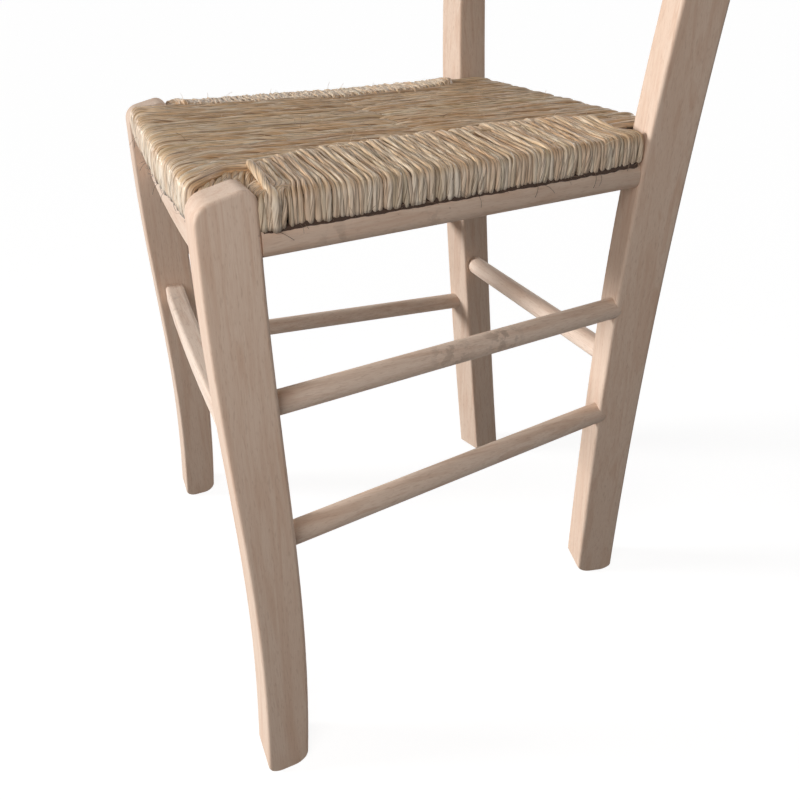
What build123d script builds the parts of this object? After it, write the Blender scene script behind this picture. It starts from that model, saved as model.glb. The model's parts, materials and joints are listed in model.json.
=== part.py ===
"""Country dining chair in raw beech with a drop-in rush seat.

Millimetres, Z up. The chair stands on the floor at Z = 0 and faces -Y, with its right hand side on +X.
The frame is four legs tied by rails, round and square stretchers and curved back slats, all glued into
blind mortises. The rush is woven round a flat wooden frame that drops between the legs onto the rails.
"""

import os
from math import atan, cos, degrees, radians, sin, sqrt, tan

from build123d import *

os.makedirs("parts", exist_ok=True)

# Where the seat sits in the frame: the back leans, so the seat lies ahead of the middle of the chair.
seat_middle_y = -27.06
seat_height = 441.8
foot_spacing = 335.5

# Front legs: a thumb shaped top that slopes forward, a gentle waist and a foot that flares forward.
front_foot_in_from_seat_side = 8.8
front_leg_lean = 1.46
front_leg_width = 33.0
front_leg_depth = 38.0
front_foot_depth = 30.0
front_waist_height = 110.0
front_waist_back = 8.6
front_foot_back = 4.0
front_leg_to_seat_middle = 166.9
thumb_front_radius = 14.0
thumb_back_radius = 9.0
thumb_slope = 14.0
leg_edge_radius = 2.5

# Feet of all four legs: rounded up to the front and back faces, with a flat sole between.
foot_flat = 9.0
foot_rise = 6.0

# Back posts: sawn to a sabre curve, leaning outward and turned so that the slats enter square.
post_foot_in_from_seat_side = 50.0
post_lean = 6.0
post_turn = 15.0
post_width = 30.0
post_foot_depth = 33.6
post_seat_depth = 38.0
post_top_depth = 28.0
post_length = 866.0
post_bend_start = 150.0
post_bend_radius = 3730.0
post_top_front_radius = 14.0
post_top_back_radius = 8.0

# Round stretchers: two on each side and one at the back.
side_stretcher_diameter = 17.1
upper_side_height = 292.9
lower_side_height = 188.0
side_stretcher_out_at_post = 1.4
back_stretcher_diameter = 19.0
back_stretcher_height = 235.0
dowel_seat = 19.0
dowel_chamfer = 1.5

# Front stretcher and front rail: both bow forward a little.
front_bow = 4.0
front_stretcher_thickness = 17.2
front_stretcher_height = 18.0
front_stretcher_top = 259.0
front_stretcher_set_back = 4.0
front_rail_thickness = 18.0
front_rail_height = 46.5
front_rail_set_back = 4.5
board_edge_radius = 3.5
tenon_thickness = 9.0
tenon_shoulder = 4.0
tenon_length = 14.0
front_rail_tenon_height = 20.0

# Side and back rails: bars with well rounded edges, with round tenons.
rail_width = 22.0
rail_height = 20.0
rail_edge_radius = 8.0
rail_below_leg_tops = 23.8
rail_tenon_diameter = 10.0
back_rail_behind_post = 5.0

# Back slats: curved boards let into the posts.
slat_thickness = 12.0
slat_seat = 13.0
slat_edge_radius = 2.0
crest_height = 72.0
crest_rise = 14.0
slat_height = 46.0
slat_rise = 6.0
crest_below_top = 58.0
middle_slat_below_crest = 108.0
lower_slat_below_middle = 102.0

# Rush seat: a rolled edge over a flat frame, with a low crown.
seat_front_half = 185.1
seat_back_half = 160.4
seat_half_depth = 183.0
seat_edge_thickness = 25.0
seat_top_roll = 8.0
seat_bottom_roll = 8.0
seat_crown = 3.0
seat_crown_inset = 15.0
seat_crown_flat = 120.0
seat_gap = 1.0
rush_thickness = 8.0
frame_board_width = 56.0
frame_board_thickness = 10.0
frame_tenon_width = 24.0
frame_tenon_thickness = 5.0
frame_tenon_length = 10.0

# Wood screws that hold the seat frame down, driven up through the side rails.
screw_diameter = 4.0
screw_head_diameter = 8.0
screw_head_height = 3.0
screw_grip = 7.0
screw_spacing = 150.0

# Fits: room round a tenon, left at the bottom of its mortise, and at a scribed shoulder.
fit = 0.15
mortise_end_gap = 0.8
shoulder_gap = 0.15
overrun = 4.0

# Places worked out from the sizes above.
front_foot_x = seat_front_half - front_foot_in_from_seat_side
post_foot_x = seat_back_half - post_foot_in_from_seat_side
front_leg_y = seat_middle_y - front_leg_to_seat_middle
back_foot_y = front_leg_y + foot_spacing
rail_top = seat_height - rail_below_leg_tops
rail_bottom = rail_top - rail_height
front_rail_bottom = rail_top - front_rail_height
seat_top = rail_top + seat_edge_thickness
seat_front_y = seat_middle_y - seat_half_depth
seat_back_y = seat_middle_y + seat_half_depth
side_slope = (seat_back_half - seat_front_half) / (seat_back_y - seat_front_y)
frame_bottom = rail_top + rush_thickness
crest_up_post = post_length - crest_below_top
middle_slat_up_post = crest_up_post - middle_slat_below_crest
lower_slat_up_post = middle_slat_up_post - lower_slat_below_middle
hands = {1: "right", -1: "left"}


def front_leg_plane(side):
    """Middle plane of a front leg: x runs to the back and y up the leaning leg."""
    lean = radians(front_leg_lean)
    return Plane(
        origin=(side * front_foot_x, front_leg_y, 0),
        x_dir=(0, 1, 0),
        z_dir=(cos(lean), 0, side * sin(lean)),
    )


def front_leg_point(side, height):
    """Middle of a front leg at a height, on the axis of its straight upper part."""
    return front_leg_plane(side).from_local_coords(Vector(0, height, 0))


def post_plane(side):
    """Middle plane of a back post: x runs to the back and y up the leaning post."""
    turn = radians(post_turn)
    lean = tan(radians(post_lean))
    return Plane(
        origin=(side * post_foot_x, back_foot_y, 0),
        x_dir=(side * sin(turn), cos(turn), 0),
        z_dir=(cos(turn), -side * sin(turn), -side * lean),
    )


def post_centre(along):
    """How far the sabre curve has carried the post back, at a length up the post."""
    rise = max(along - post_bend_start, 0)
    return post_bend_radius - sqrt(post_bend_radius**2 - rise**2)


def post_slope(along):
    """Backward slope of the sabre curve in the post's own plane."""
    rise = max(along - post_bend_start, 0)
    return rise / sqrt(post_bend_radius**2 - rise**2)


def post_depth(along):
    """Depth of the post: it swells to the seat and tapers to the top."""
    if along < seat_height:
        return post_foot_depth + (post_seat_depth - post_foot_depth) * along / seat_height
    share = (along - seat_height) / (post_length - seat_height)
    return post_seat_depth + (post_top_depth - post_seat_depth) * share


def post_point(side, along, back=0.0, out=0.0):
    """A point of a post: back from the middle of its depth, and out from its middle plane."""
    return post_plane(side).from_local_coords(Vector(post_centre(along) + back, along, side * out))


def post_along(height):
    """Length up the post that lies at a height over the floor."""
    return height / post_plane(1).y_dir.Z


def seat_side_x(y):
    """Half width of the seat at a place from front to back."""
    return seat_front_half + side_slope * (y - seat_front_y)


def heading(start, end):
    """Plane at start that faces end, with its y axis upright."""
    direction = end - start
    return Plane(origin=start, x_dir=Vector(0, 0, 1).cross(direction), z_dir=direction)


def rod(start, end, radius):
    """Round bar from start to end."""
    with BuildPart() as bar:
        with BuildSketch(heading(start, end)):
            Circle(radius)
        extrude(amount=(end - start).length)
    return bar.part


def foot_rounding(foot, half_depth, width):
    """Cutters that round a foot up to its faces, from an upright plane at the floor across the leg."""
    with BuildPart() as cutters:
        with BuildSketch(foot):
            for way in (-1, 1):
                sole_edge = (way * foot_flat / 2, 0)
                outside = way * (half_depth + overrun)
                with BuildLine():
                    rise = TangentArc(sole_edge, (way * half_depth, foot_rise), tangent=(way, 0))
                    Polyline(rise @ 1, (outside, foot_rise + overrun), (outside, -overrun))
                    Polyline((outside, -overrun), (way * foot_flat / 2, -overrun), sole_edge)
                make_face()
        extrude(amount=width, both=True)
    return cutters.part


def front_leg_blank(side):
    """Front leg before its mortises are cut."""
    top = front_leg_depth / 2
    foot = front_foot_depth / 2
    waist = foot + (top - foot) * front_waist_height / rail_bottom
    slope = radians(thumb_slope)
    front_run = thumb_front_radius * (1 - sin(slope))
    back_run = thumb_back_radius * (1 + sin(slope))
    crest = (top - back_run, seat_height - thumb_back_radius * (1 - cos(slope)))
    slope_fall = (front_leg_depth - front_run - back_run) * tan(slope)
    brow = crest[1] - slope_fall - thumb_front_radius * cos(slope)
    with BuildPart() as blank:
        with BuildSketch(front_leg_plane(side)):
            with BuildLine():
                face = Spline(
                    (front_foot_back - foot, -overrun),
                    (front_waist_back - waist, front_waist_height),
                    (-top, rail_bottom),
                    tangents=[(0.06, 1), (0, 1)],
                )
                face_top = Line(face @ 1, (-top, brow))
                crown_front = JernArc(face_top @ 1, (0, 1), thumb_front_radius, thumb_slope - 90)
                crown = Line(crown_front @ 1, crest)
                crown_back = JernArc(crest, crown % 1, thumb_back_radius, -90 - thumb_slope)
                rear_top = Line(crown_back @ 1, (top, rail_bottom))
                rear = Spline(
                    rear_top @ 1,
                    (front_waist_back + waist, front_waist_height),
                    (front_foot_back + foot, -overrun),
                    tangents=[(0, -1), (-0.09, -1)],
                )
                Line(rear @ 1, face @ 0)
            make_face()
        extrude(amount=front_leg_width / 2, both=True)
        sides = blank.faces().filter_by(GeomType.PLANE).sort_by(Axis.X)
        rim = (sides[0].edges() + sides[-1].edges()).filter_by(lambda edge: edge.center().Z > 0)
        fillet(rim, leg_edge_radius)
        split(bisect_by=Plane.XY, keep=Keep.TOP)
        sole = Plane(
            origin=(side * front_foot_x, front_leg_y + front_foot_back, 0),
            x_dir=(0, 1, 0),
            z_dir=(1, 0, 0),
        )
        add(foot_rounding(sole, foot, front_leg_width), mode=Mode.SUBTRACT)
    return blank.part


def post_blank(side):
    """Back post before its mortises are cut."""
    rail_level = post_along(rail_top - rail_height / 2)
    heights = [-overrun, post_bend_start, rail_level, (rail_level + post_length) / 2, post_length]
    front_points = [(post_centre(h) - post_depth(h) / 2, h) for h in heights]
    rear_points = [(post_centre(h) + post_depth(h) / 2, h) for h in reversed(heights)]
    with BuildPart() as blank:
        with BuildSketch(post_plane(side)) as outline:
            with BuildLine():
                face = Spline(*front_points)
                Line(face @ 1, rear_points[0])
                rear = Spline(*rear_points)
                Line(rear @ 1, face @ 0)
            make_face()
            corners = outline.vertices().group_by(Axis.Y)[-1].sort_by(Axis.X)
            fillet(corners[0], post_top_front_radius)
            corners = outline.vertices().group_by(Axis.Y)[-1].sort_by(Axis.X)
            fillet(corners[-1], post_top_back_radius)
        extrude(amount=post_width / 2, both=True)
        sides = blank.faces().filter_by(GeomType.PLANE).sort_by(Axis.X)
        rim = (sides[0].edges() + sides[-1].edges()).filter_by(lambda edge: edge.center().Z > 0)
        fillet(rim, leg_edge_radius)
        split(bisect_by=Plane.XY, keep=Keep.TOP)
        along = post_plane(side).x_dir
        sole = Plane(origin=post_plane(side).origin, x_dir=along, z_dir=along.cross(Vector(0, 0, 1)))
        add(foot_rounding(sole, post_depth(0) / 2, post_width), mode=Mode.SUBTRACT)
    return blank.part


def side_stretcher(side, height, grow=0.0, extra=0.0):
    """Round stretcher between a front leg and a post, seated in both."""
    axis_front = front_leg_point(side, height)
    axis_back = post_point(side, post_along(height), 0, side_stretcher_out_at_post)
    along = (axis_back - axis_front).normalized()
    start = axis_front - along * (dowel_seat - front_leg_depth / 2 + extra)
    end = axis_back + along * (dowel_seat - post_depth(height) / 2 + extra)
    return rod(start, end, side_stretcher_diameter / 2 + grow)


def back_stretcher(grow=0.0, extra=0.0):
    """Round stretcher between the two posts."""
    along = post_along(back_stretcher_height)
    reach = dowel_seat - post_width / 2 + extra
    start = post_point(-1, along) - Vector(reach, 0, 0)
    end = post_point(1, along) + Vector(reach, 0, 0)
    return rod(start, end, back_stretcher_diameter / 2 + grow)


def front_tenon(side, set_back, middle, height, grow=0.0, extra=0.0):
    """Flat tenon on the inner face of a front leg, or with grow its mortise."""
    inner = front_leg_plane(side).offset(-side * (front_leg_width / 2 + shoulder_gap))
    with BuildPart() as tenon:
        with BuildSketch(inner):
            with Locations((set_back, middle)):
                Rectangle(tenon_thickness + 2 * grow, height + 2 * grow)
        extrude(amount=side * (tenon_length + extra))
    return tenon.part


def front_rail_tenon(side, grow=0.0, extra=0.0):
    """Tenon of the front rail, low enough to pass under the side rail's."""
    middle = front_rail_bottom + tenon_shoulder + front_rail_tenon_height / 2
    return front_tenon(side, front_rail_set_back, middle, front_rail_tenon_height, grow, extra)


def front_stretcher_tenon(side, grow=0.0, extra=0.0):
    """Tenon of the front stretcher."""
    middle = front_stretcher_top - front_stretcher_height / 2
    height = front_stretcher_height - 2 * tenon_shoulder
    return front_tenon(side, front_stretcher_set_back, middle, height, grow, extra)


def bowed_board(set_back, thickness, bottom, top):
    """Board between the front legs that bows forward, cut to their inner faces."""
    front = front_leg_y + set_back - thickness / 2
    rear = front + thickness
    with BuildPart() as board:
        with BuildSketch(Plane.XY.offset(bottom)):
            with BuildLine():
                face = ThreePointArc((-front_foot_x, front), (0, front - front_bow), (front_foot_x, front))
                Line(face @ 1, (front_foot_x, rear))
                ThreePointArc((front_foot_x, rear), (0, rear - front_bow), (-front_foot_x, rear))
                Line((-front_foot_x, rear), face @ 0)
            make_face()
        extrude(amount=top - bottom)
        long_edges = board.edges().filter_by(GeomType.CIRCLE)
        fillet(long_edges, board_edge_radius)
        for side in hands:
            inner = front_leg_plane(side).offset(-side * (front_leg_width / 2 + shoulder_gap))
            split(bisect_by=inner, keep=Keep.BOTTOM if side > 0 else Keep.TOP)
    return board.part


def side_rail_line(side):
    """Ends of a side rail's axis, on the faces of the legs that it meets."""
    height = rail_top - rail_height / 2
    inset = rail_width / 2 * sqrt(1 + side_slope**2)
    front_y = front_leg_y + front_leg_depth / 2
    back_y = post_point(1, post_along(height), -post_depth(height) / 2).Y
    front = Vector(side * (seat_side_x(front_y) - inset), front_y, height)
    back = Vector(side * (seat_side_x(back_y) - inset), back_y, height)
    return front, back


def post_face_plane(side, along, lift=0.0):
    """Plane on the front face of a post, lifted off it, with its normal to the back."""
    taper = (post_depth(along + 1) - post_depth(along)) / 2
    slope = post_slope(along) - taper
    frame = post_plane(side)
    normal = frame.x_dir - frame.y_dir * slope
    spot = post_point(side, along, -post_depth(along) / 2 - lift)
    return Plane(origin=spot, x_dir=frame.z_dir, z_dir=normal)


def side_rail_tenon(side, at_post, grow=0.0, extra=0.0):
    """Round tenon at one end of a side rail, or with grow its mortise."""
    front, back = side_rail_line(side)
    along = (back - front).normalized()
    radius = rail_tenon_diameter / 2 + grow
    if at_post:
        return rod(back - along * rail_width / 2, back + along * (tenon_length + extra), radius)
    return rod(front + along * rail_width / 2, front - along * (tenon_length + extra), radius)


def back_rail_ends():
    """Ends of the back rail's axis, on the middle planes of the posts."""
    along = post_along(rail_top - rail_height / 2)
    return post_point(-1, along, back_rail_behind_post), post_point(1, along, back_rail_behind_post)


def back_rail_tenon(side, grow=0.0, extra=0.0):
    """Round tenon at one end of the back rail, or with grow its mortise."""
    left, right = back_rail_ends()
    middle_of_post = right if side > 0 else left
    outward = Vector(side, 0, 0)
    start = middle_of_post - outward * post_width
    end = middle_of_post + outward * (tenon_length - post_width / 2 + extra)
    return rod(start, end, rail_tenon_diameter / 2 + grow)


def slat(along, height, rise, grow=0.0):
    """Curved back slat that meets both posts square, or with grow its mortises."""
    end_point = post_point(1, along)
    turn = radians(post_turn)
    radius = end_point.X / sin(turn)
    below = post_point(1, along - 1)
    above = post_point(1, along + 1)
    tilt = atan((above.Y - below.Y) / (above.Z - below.Z))
    plane = Plane(
        origin=(0, end_point.Y, end_point.Z),
        x_dir=(1, 0, 0),
        z_dir=(0, sin(tilt), cos(tilt)),
    )
    end_gap = mortise_end_gap if grow else 0.0
    half_sweep = degrees(turn + (slat_seat - post_width / 2 + end_gap) / radius)
    hub = (0, -radius * cos(turn))
    half_thickness = slat_thickness / 2 + grow
    with BuildPart() as board:
        with BuildSketch(plane.offset(-height / 2 - grow)):
            with BuildLine():
                rear = CenterArc(hub, radius + half_thickness, 90 - half_sweep, 2 * half_sweep)
                face = CenterArc(hub, radius - half_thickness, 90 - half_sweep, 2 * half_sweep)
                Line(rear @ 0, face @ 0)
                Line(rear @ 1, face @ 1)
            make_face()
        extrude(amount=height + 2 * grow)
        edge_plane = Plane(origin=plane.origin, x_dir=(1, 0, 0), z_dir=-plane.y_dir)
        top = height / 2 + grow
        span = end_point.X + post_width
        with BuildSketch(edge_plane):
            with BuildLine():
                arch = ThreePointArc((-span, top - rise), (0, top), (span, top - rise))
                Line(arch @ 1, (span, -top - overrun))
                Line((span, -top - overrun), (-span, -top - overrun))
                Line((-span, -top - overrun), arch @ 0)
            make_face()
        extrude(amount=span, both=True, mode=Mode.INTERSECT)
        if not grow:
            long_edges = board.edges().filter_by(lambda edge: edge.length > end_point.X)
            fillet(long_edges, slat_edge_radius)
    return board.part


slats = {
    "crest_rail": (crest_up_post, crest_height, crest_rise),
    "middle_slat": (middle_slat_up_post, slat_height, slat_rise),
    "lower_slat": (lower_slat_up_post, slat_height, slat_rise),
}
side_heights = {"upper": upper_side_height, "lower": lower_side_height}


def corner_notches(clear):
    """Room for the four legs at the corners of the seat, with a clearance to each."""
    away = front_leg_width + post_width + rush_thickness
    with BuildPart() as notches:
        for side in hands:
            leg_side = front_leg_plane(side).offset(-side * (front_leg_width / 2 + clear))
            with BuildSketch(leg_side):
                with Locations((front_leg_depth / 2 + clear, seat_height)):
                    Rectangle(away, seat_height / 2, align=(Align.MAX, Align.CENTER))
            extrude(amount=side * away)
            post_side = post_plane(side).offset(-side * (post_width / 2 + clear))
            face = post_centre(rail_top) - post_depth(rail_top) / 2 - clear
            with BuildSketch(post_side):
                with Locations((face, seat_height)):
                    Rectangle(away, seat_height / 2, align=(Align.MIN, Align.CENTER))
            extrude(amount=side * away)
    return notches.part


def seat_blank(inset, bottom, top):
    """Seat outline pulled in by inset, with its corners notched round the legs."""
    with BuildPart() as blank:
        with BuildSketch(Plane.XY.offset(bottom)):
            with BuildLine():
                front = ThreePointArc(
                    (-seat_front_half, seat_front_y),
                    (0, seat_front_y - front_bow),
                    (seat_front_half, seat_front_y),
                )
                Line(front @ 1, (seat_back_half, seat_back_y))
                Line((seat_back_half, seat_back_y), (-seat_back_half, seat_back_y))
                Line((-seat_back_half, seat_back_y), front @ 0)
            make_face()
            if inset:
                offset(amount=-inset, kind=Kind.INTERSECTION)
        extrude(amount=top - bottom)
        if not inset:
            fillet(blank.edges().group_by(Axis.Z)[-1], seat_top_roll)
            fillet(blank.edges().group_by(Axis.Z)[0], seat_bottom_roll)
        add(corner_notches(seat_gap + inset), mode=Mode.SUBTRACT)
    return blank.part


def screw_places():
    """Feet of the seat screws, under the side rails."""
    places = []
    for side in hands:
        front, back = side_rail_line(side)
        for step in (-0.5, 0.5):
            y = seat_middle_y + step * screw_spacing
            x = front.X + (back.X - front.X) * (y - front.Y) / (back.Y - front.Y)
            places.append((x, y, rail_bottom))
    return places


def screw_holes(radius):
    """Straight holes for the seat screws, from under the rails into the frame."""
    with BuildPart() as holes:
        with Locations(*screw_places()):
            length = frame_bottom + screw_grip + mortise_end_gap - rail_bottom
            Cylinder(radius, length, align=(Align.CENTER, Align.CENTER, Align.MIN))
    return holes.part


def screw_sinks(grow):
    """Countersinks for the screw heads in the undersides of the rails."""
    head = screw_head_diameter / 2 + grow
    shank = screw_diameter / 2 + grow
    with BuildPart() as sinks:
        with Locations(*screw_places()):
            Cone(head, shank, screw_head_height, align=(Align.CENTER, Align.CENTER, Align.MIN))
    return sinks.part


for side, hand in hands.items():
    with BuildPart() as front_leg:
        add(front_leg_blank(side))
        for height in side_heights.values():
            add(side_stretcher(side, height, fit, mortise_end_gap), mode=Mode.SUBTRACT)
        add(front_rail_tenon(side, fit, mortise_end_gap), mode=Mode.SUBTRACT)
        add(front_stretcher_tenon(side, fit, mortise_end_gap), mode=Mode.SUBTRACT)
        add(side_rail_tenon(side, False, fit, mortise_end_gap), mode=Mode.SUBTRACT)
    front_leg.part.label = f"front_leg_{hand}"
    export_step(front_leg.part, f"parts/front_leg_{hand}.step")

    with BuildPart() as back_post:
        add(post_blank(side))
        for height in side_heights.values():
            add(side_stretcher(side, height, fit, mortise_end_gap), mode=Mode.SUBTRACT)
        add(back_stretcher(fit, mortise_end_gap), mode=Mode.SUBTRACT)
        add(side_rail_tenon(side, True, fit, mortise_end_gap), mode=Mode.SUBTRACT)
        add(back_rail_tenon(side, fit, mortise_end_gap), mode=Mode.SUBTRACT)
        for along, height, rise in slats.values():
            add(slat(along, height, rise, fit), mode=Mode.SUBTRACT)
    back_post.part.label = f"back_post_{hand}"
    export_step(back_post.part, f"parts/back_post_{hand}.step")

    for level, height in side_heights.items():
        with BuildPart() as stretcher:
            add(side_stretcher(side, height))
            chamfer(stretcher.edges().filter_by(GeomType.CIRCLE), dowel_chamfer)
        stretcher.part.label = f"side_stretcher_{level}_{hand}"
        export_step(stretcher.part, f"parts/side_stretcher_{level}_{hand}.step")

    with BuildPart() as side_rail:
        front_end, back_end = side_rail_line(side)
        rail_along = (back_end - front_end).normalized()
        with BuildSketch(heading(front_end - rail_along * rail_width, back_end)):
            RectangleRounded(rail_width, rail_height, rail_edge_radius)
        extrude(amount=(back_end - front_end).length + 2 * rail_width)
        leg_face = Plane.XZ.offset(-(front_leg_y + front_leg_depth / 2 + shoulder_gap))
        split(bisect_by=leg_face, keep=Keep.BOTTOM)
        post_face = post_face_plane(side, post_along(rail_top - rail_height / 2), shoulder_gap)
        split(bisect_by=post_face, keep=Keep.BOTTOM)
        add(side_rail_tenon(side, False))
        add(side_rail_tenon(side, True))
        add(screw_holes(screw_diameter / 2 + fit), mode=Mode.SUBTRACT)
        add(screw_sinks(fit), mode=Mode.SUBTRACT)
    side_rail.part.label = f"side_rail_{hand}"
    export_step(side_rail.part, f"parts/side_rail_{hand}.step")

with BuildPart() as back_dowel:
    add(back_stretcher())
    chamfer(back_dowel.edges().filter_by(GeomType.CIRCLE), dowel_chamfer)
back_dowel.part.label = "back_stretcher"
export_step(back_dowel.part, "parts/back_stretcher.step")

with BuildPart() as front_stretcher:
    add(bowed_board(
        front_stretcher_set_back,
        front_stretcher_thickness,
        front_stretcher_top - front_stretcher_height,
        front_stretcher_top,
    ))
    for side in hands:
        add(front_stretcher_tenon(side))
front_stretcher.part.label = "front_stretcher"
export_step(front_stretcher.part, "parts/front_stretcher.step")

with BuildPart() as front_rail:
    add(bowed_board(front_rail_set_back, front_rail_thickness, front_rail_bottom, rail_top))
    for side in hands:
        add(front_rail_tenon(side))
front_rail.part.label = "front_rail"
export_step(front_rail.part, "parts/front_rail.step")

with BuildPart() as back_rail:
    left_end, right_end = back_rail_ends()
    with BuildSketch(heading(left_end, right_end)):
        RectangleRounded(rail_width, rail_height, rail_edge_radius)
    extrude(amount=(right_end - left_end).length)
    for side in hands:
        inner_face = post_plane(side).offset(-side * (post_width / 2 + shoulder_gap))
        split(bisect_by=inner_face, keep=Keep.BOTTOM if side > 0 else Keep.TOP)
    for side in hands:
        add(back_rail_tenon(side))
back_rail.part.label = "back_rail"
export_step(back_rail.part, "parts/back_rail.step")

for name, (along, height, rise) in slats.items():
    with BuildPart() as back_slat:
        add(slat(along, height, rise))
    back_slat.part.label = name
    export_step(back_slat.part, f"parts/{name}.step")

frame_top = frame_bottom + frame_board_thickness
frame_front_edge = seat_front_y + rush_thickness + frame_board_width
frame_back_edge = seat_back_y - rush_thickness - frame_board_width
frame_middle = frame_bottom + frame_board_thickness / 2


def frame_tenon(side, edge, toward, grow=0.0, extra=0.0):
    """Tenon that joins a side board of the seat frame to its front or back board."""
    middle_x = side * (seat_side_x(edge) - rush_thickness - frame_board_width / 2)
    start = Plane(origin=(middle_x, edge, frame_middle), x_dir=(1, 0, 0), z_dir=(0, toward, 0))
    with BuildPart() as tenon:
        with BuildSketch(start):
            Rectangle(frame_tenon_width + 2 * grow, frame_tenon_thickness + 2 * grow)
        extrude(amount=frame_tenon_length + extra)
    return tenon.part


def strip(front, back, inner, outer):
    """Box that keeps one board of the seat frame: front to back, and inner to outer half width."""
    with BuildPart() as block:
        with BuildSketch(Plane.XY.offset(frame_bottom)):
            with Locations((inner, front)):
                Rectangle(outer - inner, back - front, align=(Align.MIN, Align.MIN))
        extrude(amount=frame_board_thickness)
    return block.part


board_ends = {
    "front": (seat_front_y - front_bow, frame_front_edge, -1),
    "back": (frame_back_edge, seat_back_y, 1),
}
for name, (front_edge, back_edge, toward) in board_ends.items():
    joint = frame_front_edge if toward < 0 else frame_back_edge
    with BuildPart() as frame_board:
        add(seat_blank(rush_thickness, frame_bottom, frame_top))
        add(strip(front_edge, back_edge, -seat_front_half, seat_front_half), mode=Mode.INTERSECT)
        for side in hands:
            add(frame_tenon(side, joint, toward, fit, mortise_end_gap), mode=Mode.SUBTRACT)
    frame_board.part.label = f"seat_frame_{name}"
    export_step(frame_board.part, f"parts/seat_frame_{name}.step")

for side, hand in hands.items():
    with BuildPart() as side_board:
        with BuildSketch(Plane.XY.offset(frame_bottom)):
            edges = (frame_front_edge + shoulder_gap, frame_back_edge - shoulder_gap)
            outer = [(side * (seat_side_x(y) - rush_thickness), y) for y in edges]
            inner = [(x - side * frame_board_width, y) for x, y in reversed(outer)]
            with BuildLine():
                Polyline(*outer, *inner, close=True)
            make_face()
        extrude(amount=frame_board_thickness)
        add(frame_tenon(side, frame_front_edge + shoulder_gap, -1))
        add(frame_tenon(side, frame_back_edge - shoulder_gap, 1))
        add(screw_holes(screw_diameter / 2 + fit), mode=Mode.SUBTRACT)
    side_board.part.label = f"seat_frame_{hand}"
    export_step(side_board.part, f"parts/seat_frame_{hand}.step")

with BuildPart() as rush_weave:
    add(seat_blank(0, rail_top, seat_top))
    crown_outline = [(seat_crown_inset, 0), (seat_crown_flat, seat_crown)]
    for inset, lift in crown_outline:
        with BuildSketch(Plane.XY.offset(seat_top + lift)):
            front_y = seat_front_y + inset
            back_y = seat_back_y - inset
            right = [(seat_side_x(front_y) - inset, front_y), (seat_side_x(back_y) - inset, back_y)]
            left = [(-x, y) for x, y in reversed(right)]
            with BuildLine():
                Polyline(*right, *left, close=True)
            make_face()
    loft()
    add(corner_notches(seat_gap), mode=Mode.SUBTRACT)
    add(seat_blank(rush_thickness - fit, frame_bottom - fit, frame_top + fit), mode=Mode.SUBTRACT)
    add(screw_holes(screw_diameter / 2 + fit), mode=Mode.SUBTRACT)
rush_weave.part.label = "rush_weave"
export_step(rush_weave.part, "parts/rush_weave.step")

with BuildPart() as rush_padding:
    with BuildSketch(Plane.XY.offset(frame_bottom)):
        edges = (frame_front_edge + fit, frame_back_edge - fit)
        right = [(seat_side_x(y) - rush_thickness - frame_board_width - fit, y) for y in edges]
        left = [(-x, y) for x, y in reversed(right)]
        with BuildLine():
            Polyline(*right, *left, close=True)
        make_face()
    extrude(amount=frame_board_thickness)
rush_padding.part.label = "rush_padding"
export_step(rush_padding.part, "parts/rush_padding.step")

with BuildPart() as seat_screws:
    with Locations(*screw_places()):
        length = frame_bottom + screw_grip - rail_bottom
        Cylinder(screw_diameter / 2, length, align=(Align.CENTER, Align.CENTER, Align.MIN))
    add(screw_sinks(0))
seat_screws.part.label = "seat_screws"
export_step(seat_screws.part, "parts/seat_screws.step")
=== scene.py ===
"""Country dining chair in raw beech with a drop-in rush seat: its looks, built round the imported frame."""

import json
import math

import bmesh
import bpy
from mathutils import Matrix, Vector

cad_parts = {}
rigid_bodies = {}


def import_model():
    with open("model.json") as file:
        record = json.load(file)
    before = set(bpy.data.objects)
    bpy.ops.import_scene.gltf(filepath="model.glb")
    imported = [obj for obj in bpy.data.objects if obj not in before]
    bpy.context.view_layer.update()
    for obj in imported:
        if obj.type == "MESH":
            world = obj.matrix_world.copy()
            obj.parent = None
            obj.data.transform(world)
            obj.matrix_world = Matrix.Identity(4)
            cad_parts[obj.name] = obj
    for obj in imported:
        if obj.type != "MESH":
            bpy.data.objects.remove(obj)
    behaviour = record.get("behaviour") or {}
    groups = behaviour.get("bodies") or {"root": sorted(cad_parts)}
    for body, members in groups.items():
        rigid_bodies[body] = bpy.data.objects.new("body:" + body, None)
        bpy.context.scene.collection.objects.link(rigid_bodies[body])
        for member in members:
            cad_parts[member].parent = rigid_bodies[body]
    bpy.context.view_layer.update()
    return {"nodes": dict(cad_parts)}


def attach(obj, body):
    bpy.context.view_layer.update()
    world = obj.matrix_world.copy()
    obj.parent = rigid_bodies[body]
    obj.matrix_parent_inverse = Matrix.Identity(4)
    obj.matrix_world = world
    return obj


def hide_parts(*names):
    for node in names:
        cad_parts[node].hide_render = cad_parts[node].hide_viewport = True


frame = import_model()


# Legs and back posts
# Four uprights of steamed beech, sawn to shape, planed and sanded, and left raw. The long side of
# each is along the grain, which shows as faint bands, with fine flecks of the wood's rays.

def linear(colour):
    """Linear colour of an sRGB hex value."""
    parts = [int(colour[i:i + 2], 16) / 255 for i in (1, 3, 5)]
    return [p / 12.92 if p <= 0.04045 else ((p + 0.055) / 1.055) ** 2.4 for p in parts] + [1.0]


def feed(tree, made, inputs):
    """Fills a node's inputs. Each takes a value, a socket, or a node whose first output is used."""
    for key, value in inputs.items():
        if isinstance(value, bpy.types.Node):
            value = next(output for output in value.outputs if output.enabled)
        if isinstance(value, bpy.types.NodeSocket):
            tree.links.new(value, made.inputs[key])
        else:
            made.inputs[key].default_value = value


def node(tree, kind, inputs=(), **settings):
    """Adds a node with its settings and links."""
    made = tree.nodes.new(kind)
    for name, value in settings.items():
        setattr(made, name, value)
    feed(tree, made, dict(inputs))
    return made


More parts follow.
